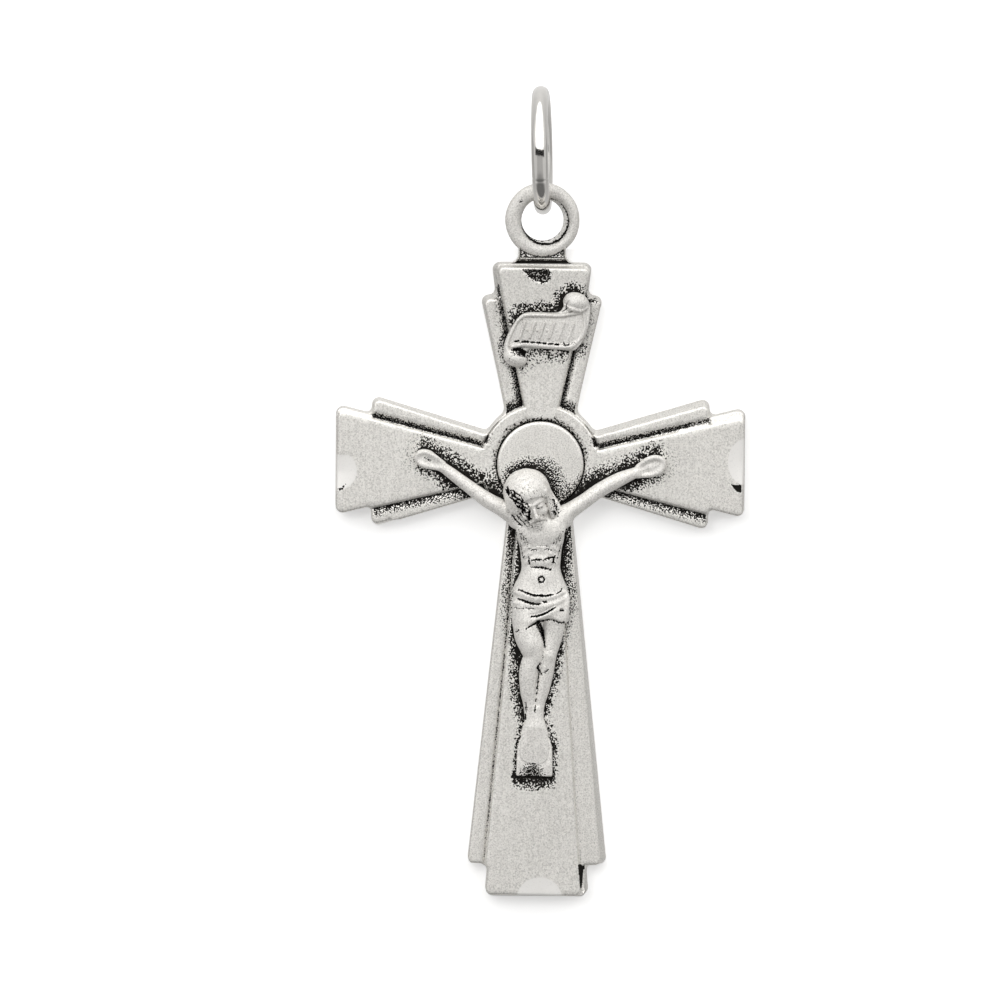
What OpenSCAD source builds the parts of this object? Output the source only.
// Layered crucifix pendant: two stacked flared crosses with a hub ring and an
// inset disc, an applied figure, scroll and foot rest, a hanging loop on a neck
// and a free jump ring.
// Frame: origin at the hub centre on the flat back, +Z up along the top arm,
// the front faces -Y, millimetres. Left (-X) and right (+X) are as seen from
// the front.

/* [Horizontal arms] */
// Reach of the long upper layer's side arms from the hub centre
side_long = 10.43; // [10.0:0.01:10.8]
// Half width of the upper layer's side arms at their ends
side_long_half = 2.81; // [2.6:0.01:2.9]
// Half width that the upper layer's side arms would have at the hub centre
side_long_root = 0.18; // [0.1:0.01:0.25]
// How far the long side arms' middle line stands above the hub centre
side_rise = 0.10; // [0.0:0.01:0.12]
// Reach of the short lower layer's side arms
side_short = 8.60; // [8.3:0.01:8.8]
// Half width of the lower layer's side arms at their ends
side_short_half = 3.39; // [3.2:0.01:3.45]
// Half width that the lower layer's side arms would have at the hub centre
side_short_root = 0.80; // [0.7:0.01:0.9]

/* [Top arm] */
// Reach of the upper layer's top arm
top_long = 10.24; // [10.1:0.01:10.3]
// Half width of the upper layer's top arm at its end
top_long_half = 2.47; // [2.35:0.01:2.6]
// Half width that the upper layer's top arm would have at the hub centre
top_long_root = 0.26; // [0.2:0.01:0.35]
// Half width of the lower layer's edge under the top arm's end
top_skirt_half = 2.56; // [2.5:0.01:2.62]
// Half width that this edge would have at the hub centre
top_skirt_root = 1.26; // [1.15:0.01:1.3]
// Reach of the lower layer's top arm
top_short = 8.56; // [8.4:0.01:8.7]
// Half width of the lower layer's top arm at its end
top_short_half = 3.14; // [3.0:0.01:3.2]
// Half width that the lower layer's top arm would have at the hub centre
top_short_root = 1.22; // [1.15:0.01:1.3]

/* [Bottom arm] */
// Reach of the upper layer's bottom arm
foot_long = 22.18; // [21.5:0.01:22.5]
// Half width of the upper layer's bottom arm at its end
foot_long_half = 2.57; // [2.45:0.01:2.65]
// Half width that the upper layer's bottom arm would have at the hub centre
foot_long_root = 0.80; // [0.75:0.01:0.85]
// Half width of the lower layer's edge under the bottom arm's end
foot_skirt_half = 2.66; // [2.6:0.01:2.7]
// Half width that this edge would have at the hub centre
foot_skirt_root = 0.86; // [0.82:0.01:0.9]
// Reach of the lower layer's bottom arm
foot_short = 20.59; // [20.0:0.01:20.8]
// Half width of the lower layer's bottom arm at its end
foot_short_half = 3.57; // [3.4:0.01:3.6]
// Half width that the lower layer's bottom arm would have at the hub centre
foot_short_root = 1.39; // [1.35:0.01:1.45]

/* [Layers] */
// Thickness of the lower layer
base_t = 1.05; // [0.95:0.01:1.1]
// Thickness of the upper layer that sits on it
upper_t = 0.30; // [0.29:0.01:0.4]
// Radius that rounds every arm corner
corner_r = 0.36; // [0.2:0.01:0.4]
// How far the upper layer stands in from the edge of the lower one at the arm ends
step_in = 0.02; // [0.01:0.01:0.05]

/* [Hub] */
// Outer radius of the hub ring
hub_r = 3.10; // [3.0:0.01:3.2]
// Radius of the shallow seat in the hub
seat_r = 2.28; // [2.24:0.01:2.35]
// Depth of that seat below the hub ring
seat_depth = 0.25; // [0.15:0.01:0.27]
// Radius of the disc set into the seat
disc_r = 2.20; // [2.1:0.01:2.22]
// Height that the disc stands above the hub ring
disc_proud = 0.10; // [0.05:0.01:0.2]
// Width of the chamfer round the disc
disc_chamfer = 0.14; // [0.08:0.01:0.2]

/* [Shoulders] */
// How far out from the hub centre the upper layer covers the lower one's side arms
shoulder = 2.72; // [2.5:0.01:2.9]

/* [Scroll] */
// Thickness of the scroll's panel
scroll_t = 0.42; // [0.35:0.01:0.5]
// Radius of the scroll's rolled ends
roll_r = 0.46; // [0.4:0.01:0.5]

/* [Foot rest] */
// Half width of the foot rest at its foot
rest_half = 0.92; // [0.85:0.01:1.0]
// Height of the foot rest's upper edge
rest_top = -13.9; // [-14.1:0.05:-13.6]
// Height of the foot rest's lower edge
rest_bottom = -15.95; // [-16.2:0.05:-15.7]
// How far the foot rest stands off the cross
rest_t = 0.42; // [0.35:0.01:0.5]

/* [Hanging loop] */
// Height of the loop's centre above the hub centre
loop_z = 12.44; // [12.38:0.01:12.5]
// Radius of the loop, centre to middle of its band
loop_r = 1.535; // [1.48:0.005:1.56]
// Radius of the loop's round band
band_r = 0.372; // [0.35:0.002:0.38]
// Distance of the loop's middle plane in front of the back face
loop_y = 0.70; // [0.6:0.01:0.8]
// Width of the neck under the loop
neck_w = 2.45; // [2.3:0.01:2.5]
// Thickness of the neck
neck_t = 0.66; // [0.5:0.01:0.8]

/* [Jump ring] */
// Radius of the jump ring, centre to middle of its wire
ring_r = 2.85; // [2.8:0.01:2.9]
// Radius of the jump ring's wire
wire_r = 0.43; // [0.38:0.01:0.44]
// Gap between the wire and the loop's band where it hangs
hang_gap = 0.03; // [0.02:0.01:0.06]
// Turn of the jump ring about the upright axis
ring_twist = -2.3; // [-4:0.1:0]
// Sideways lean of the jump ring
ring_lean = -1.7; // [-3:0.1:0]

/* [Hidden] */

silver = [0.80, 0.79, 0.77];
satin = [0.72, 0.71, 0.69];
ring_silver = [0.84, 0.83, 0.81];

front = base_t + upper_t;          // distance from back face to upper face

// Arms: [reach, half width at the end, half width at the hub centre]
side_short_arm = [side_short, side_short_half, side_short_root];
top_short_arm = [top_short, top_short_half, top_short_root];
foot_short_arm = [foot_short, foot_short_half, foot_short_root];
side_long_arm = [side_long, side_long_half, side_long_root];
top_long_arm = [top_long, top_long_half, top_long_root];
foot_long_arm = [foot_long, foot_long_half, foot_long_root];
top_skirt_arm = [top_long, top_skirt_half, top_skirt_root];
foot_skirt_arm = [foot_long, foot_skirt_half, foot_skirt_root];

corner_steps = 5;                  // steps round an arm corner
hub_skirt = 0.07;                  // lower layer's margin round the hub ring
shoulder_bottom = 0.3;             // lower edge of the shoulders
shoulder_height = 1.45;

// Scalloped facets in the upper face at the arm ends
facet_depth = 0.22;
facet_length = 6;
// [arm direction, reach, offset across the arm, cutter radius, tilt]
facets = [[180, side_long, -0.25, 1.45, 14],
          [0, side_long, 0.1, 1.9, 17],
          [90, top_long, -0.2, 1.0, 17],
          [270, foot_long, 0.0, 2.3, 16]];

// Scroll panel outline, [x, z]
ribbon = [[-1.98, 5.95], [-1.72, 6.75], [-1.32, 7.42], [-0.90, 7.74],
          [0.72, 7.82], [1.02, 8.10], [1.02, 8.45], [1.40, 8.80],
          [2.10, 8.60], [2.36, 8.20], [2.38, 7.80], [2.30, 7.15],
          [2.12, 6.54], [1.83, 6.08], [1.50, 5.86], [-0.60, 5.90],
          [-0.86, 5.55], [-1.20, 5.20], [-1.70, 5.30]];
// Rolled ends of the scroll, [x, z, length]
rolls = [[1.68, 8.34, 1.2], [-1.40, 5.38, 1.1]];
roll_proud = 0.12;                 // roll axis in front of the upper face
roll_angle = 78;                   // roll axis, turned from upright towards +X

// The figure's chains of limbs; each joint is [x, y, z, radius]
figure = [
    // head, leaning and bowed forward
    [[-0.55, -1.72, -1.28, 1.18], [0.02, -2.02, -2.86, 0.46]],
    // neck
    [[-0.25, -1.60, -2.10, 0.55], [0.05, -1.55, -3.00, 0.60]],
    // left side of the trunk, above and below the waist
    [[-0.58, -1.50, -3.20, 0.70], [-0.42, -1.45, -5.40, 0.54]],
    [[-0.42, -1.45, -5.40, 0.56], [-0.52, -1.45, -7.20, 0.80]],
    // right side of the trunk
    [[0.66, -1.50, -3.10, 0.72], [0.62, -1.45, -5.40, 0.56], [0.80, -1.45, -7.20, 0.80]],
    // left leg and foot
    [[-0.48, -1.45, -7.40, 0.78], [-0.32, -1.62, -9.95, 0.48], [-0.26, -1.50, -12.80, 0.34]],
    [[-0.24, -1.60, -12.80, 0.36], [-0.46, -1.70, -15.15, 0.40]],
    // right leg and foot
    [[0.80, -1.45, -7.40, 0.74], [0.52, -1.62, -9.90, 0.46], [0.08, -1.50, -12.80, 0.32]],
    [[0.10, -1.60, -12.80, 0.34], [0.46, -1.70, -15.15, 0.40]],
    // left arm and hand
    [[-1.05, -1.62, -2.75, 0.56], [-2.05, -1.68, -2.18, 0.42], [-3.60, -1.62, -1.22, 0.40],
     [-5.15, -1.52, -0.10, 0.34], [-6.05, -1.46, 0.34, 0.38]],
    // right arm and hand
    [[1.15, -1.62, -2.70, 0.56], [2.30, -1.68, -1.76, 0.42], [3.30, -1.64, -1.08, 0.40],
     [5.05, -1.52, -0.22, 0.34], [6.00, -1.46, 0.24, 0.38]]];
disc_clearance = 0.02;             // gap between the figure and the disc's rim

// Points round an arm corner, between two angles
function corner(centre, from, to) =
    [for (i = [0:corner_steps])
        let (angle = from + (to - from) * i / corner_steps)
        centre + corner_r * [cos(angle), sin(angle)]];

// One flared arm along +X, from the hub centre to its rounded end
function flared(reach, half, root) =
    let (slope = (half - root) / reach,
         flare = atan(slope),
         x = reach - corner_r,
         y = half - slope * corner_r - corner_r / cos(flare))
    concat([[0, -root]],
           corner([x, -y], -90 - flare, 0),
           corner([x, y], 0, 90 + flare),
           [[0, root]]);

module arm(size, trim) {
    polygon(flared(size[0] - trim, size[1] - trim, size[2]));
}

// The four arms of one layer, drawn in the XZ plane; trim shortens and narrows
// every arm end, rise lifts the side arms
module arms(side, top, foot, rise = 0, trim = 0) {
    translate([0, rise])
        for (angle = [0, 180])
            rotate(angle) arm(side, trim);
    rotate(90) arm(top, trim);
    rotate(-90) arm(foot, trim);
}

module short_arms() {
    arms(side_short_arm, top_short_arm, foot_short_arm);
}

// Raises a drawing in the XZ plane from depth y0 to depth y1 in front of the back
module raised(y0, y1) {
    translate([0, -y0, 0]) rotate([90, 0, 0])
        linear_extrude(height = y1 - y0) children();
}

// Box standing on the upper layer's face, centred on x = 0
module front_box(half_width, depth, z0, z1) {
    translate([-half_width, -front - depth, z0])
        cube([2 * half_width, depth, z1 - z0]);
}

// Round cutter for one facet; the tilt deepens it towards the arm's end
module facet_cut(angle, reach, across, radius, tilt) {
    rotate([0, -angle, 0])
        translate([reach, -front + facet_depth, across])
        rotate([0, 0, tilt])
        translate([0, -radius, 0])
        rotate([0, 90, 0])
            cylinder(h = facet_length, r = radius, center = true, $fn = 96);
}

module base_cross() {
    color(satin) raised(0, base_t) union() {
        short_arms();
        // edge under the long arms
        arms(side_long_arm, top_skirt_arm, foot_skirt_arm, rise = side_rise);
        circle(r = hub_r + hub_skirt, $fn = 128);
    }
}

module upper_cross() {
    over = 0.5;                    // cutter's length in front of the face
    color(silver) difference() {
        raised(base_t, front) union() {
            arms(side_long_arm, top_long_arm, foot_long_arm,
                 rise = side_rise, trim = step_in);
            circle(r = hub_r, $fn = 128);
            // upper shoulders, flush with the hub ring
            intersection() {
                short_arms();
                translate([-shoulder, shoulder_bottom])
                    square([2 * shoulder, shoulder_height]);
            }
        }
        // seat for the disc
        translate([0, -front - over, 0]) rotate([-90, 0, 0])
            cylinder(h = seat_depth + over, r = seat_r, $fn = 128);
        for (facet = facets)
            facet_cut(facet[0], facet[1], facet[2], facet[3], facet[4]);
    }
}

module halo_disc() {
    low = front - seat_depth;
    rim = front + disc_proud - disc_chamfer;   // where the chamfer starts
    color(silver) rotate([90, 0, 0]) union() {
        translate([0, 0, low])
            cylinder(h = rim - low, r = disc_r, $fn = 128);
        translate([0, 0, rim])
            cylinder(h = disc_chamfer, r1 = disc_r, r2 = disc_r - disc_chamfer,
                     $fn = 128);
    }
}

module title_scroll() {
    color(silver) intersection() {
        union() {
            raised(front, front + scroll_t) polygon(ribbon);
            for (roll = rolls)
                translate([roll[0], -front - roll_proud, roll[1]])
                    rotate([0, roll_angle, 0])
                        cylinder(h = roll[2], r = roll_r, center = true, $fn = 48);
        }
        // keeps the rolls off the cross
        front_box(half_width = 5, depth = 3, z0 = 3, z1 = 11);
    }
}

function place(joint) = [joint[0], joint[1], joint[2]];

// Tapering rounded bar between two joints
module limb(start, end) {
    hull() {
        translate(place(start)) sphere(r = start[3], $fn = 20);
        translate(place(end)) sphere(r = end[3], $fn = 20);
    }
}

module corpus() {
    over = 1;                      // cutters' length past what they clear
    color(silver) difference() {
        intersection() {
            union() {
                for (chain = figure)
                    for (i = [0:len(chain) - 2])
                        limb(chain[i], chain[i + 1]);
                // middle of the trunk, from the shoulders to the hips
                hull() {
                    translate([-0.50, -1.45, -3.3]) sphere(r = 0.70, $fn = 20);
                    translate([0.62, -1.45, -3.2]) sphere(r = 0.72, $fn = 20);
                    translate([0.12, -1.35, -7.3]) sphere(r = 0.92, $fn = 20);
                }
            }
            // everything in front of the upper layer's face
            front_box(half_width = 8, depth = 4, z0 = -16, z1 = 2);
        }
        // room for the disc behind the head
        translate([0, over, 0]) rotate([90, 0, 0])
            cylinder(h = front + disc_proud + over, r = disc_r + disc_clearance,
                     $fn = 64);
        // room for the foot rest behind the feet
        translate([-2, -front - rest_t, rest_bottom - over])
            cube([4, rest_t + over, rest_top - rest_bottom + over]);
    }
}

module foot_rest() {
    bevel_x = 0.22;
    bevel_z = 0.35;
    hollow_r = 0.62;
    hollow_slope = 22;             // the hollow rises this much towards the back
    color(silver) difference() {
        raised(front, front + rest_t)
            polygon([[-rest_half, rest_bottom], [rest_half, rest_bottom],
                     [rest_half, rest_top - bevel_z], [rest_half - bevel_x, rest_top],
                     [-rest_half + bevel_x, rest_top], [-rest_half, rest_top - bevel_z]]);
        // arched hollow in the lower edge
        translate([-0.15, -front - rest_t - 0.2, rest_bottom - 0.12])
            rotate([-90 + hollow_slope, 0, 0])
                cylinder(h = 0.5, r = hollow_r, $fn = 64);
    }
}

// Neck with a rounded flare on each side of its foot, cut to fit round the loop
module loop_neck() {
    flare_r = 0.45;
    flare_x = neck_w / 2 + flare_r;
    back = loop_y - neck_t / 2;
    height = loop_z - loop_r * 0.8 - top_long;
    color(satin) difference() {
        raised(back, back + neck_t) difference() {
            translate([-flare_x, top_long]) square([2 * flare_x, height]);
            for (side = [-1, 1])
                translate([side * flare_x, top_long + flare_r]) {
                    circle(r = flare_r, $fn = 48);
                    translate([-flare_r, 0]) square([2 * flare_r, 2]);
                }
        }
        loop_shape();
        // clear hole inside the loop
        translate([0, 1, loop_z]) rotate([90, 0, 0])
            cylinder(h = 4, r = loop_r, $fn = 96);
    }
}

module loop_shape() {
    translate([0, -loop_y, loop_z]) rotate([90, 0, 0])
        rotate_extrude($fn = 96) translate([loop_r, 0]) circle(r = band_r, $fn = 48);
}

module hanging_loop() {
    color(silver) loop_shape();
}

// Hangs from the top of the loop's band and leans about it
module jump_ring() {
    drop = band_r + wire_r + hang_gap;   // middle of the band to middle of the wire
    color(ring_silver)
        translate([0, -loop_y, loop_z + loop_r])
        rotate([0, ring_lean, 0])
        translate([0, 0, ring_r - drop])
        rotate([0, 0, ring_twist])
        rotate([0, 90, 0])
            rotate_extrude($fn = 128) translate([ring_r, 0])
                circle(r = wire_r, $fn = 48);
}

base_cross();
upper_cross();
halo_disc();
title_scroll();
corpus();
foot_rest();
loop_neck();
hanging_loop();
jump_ring();
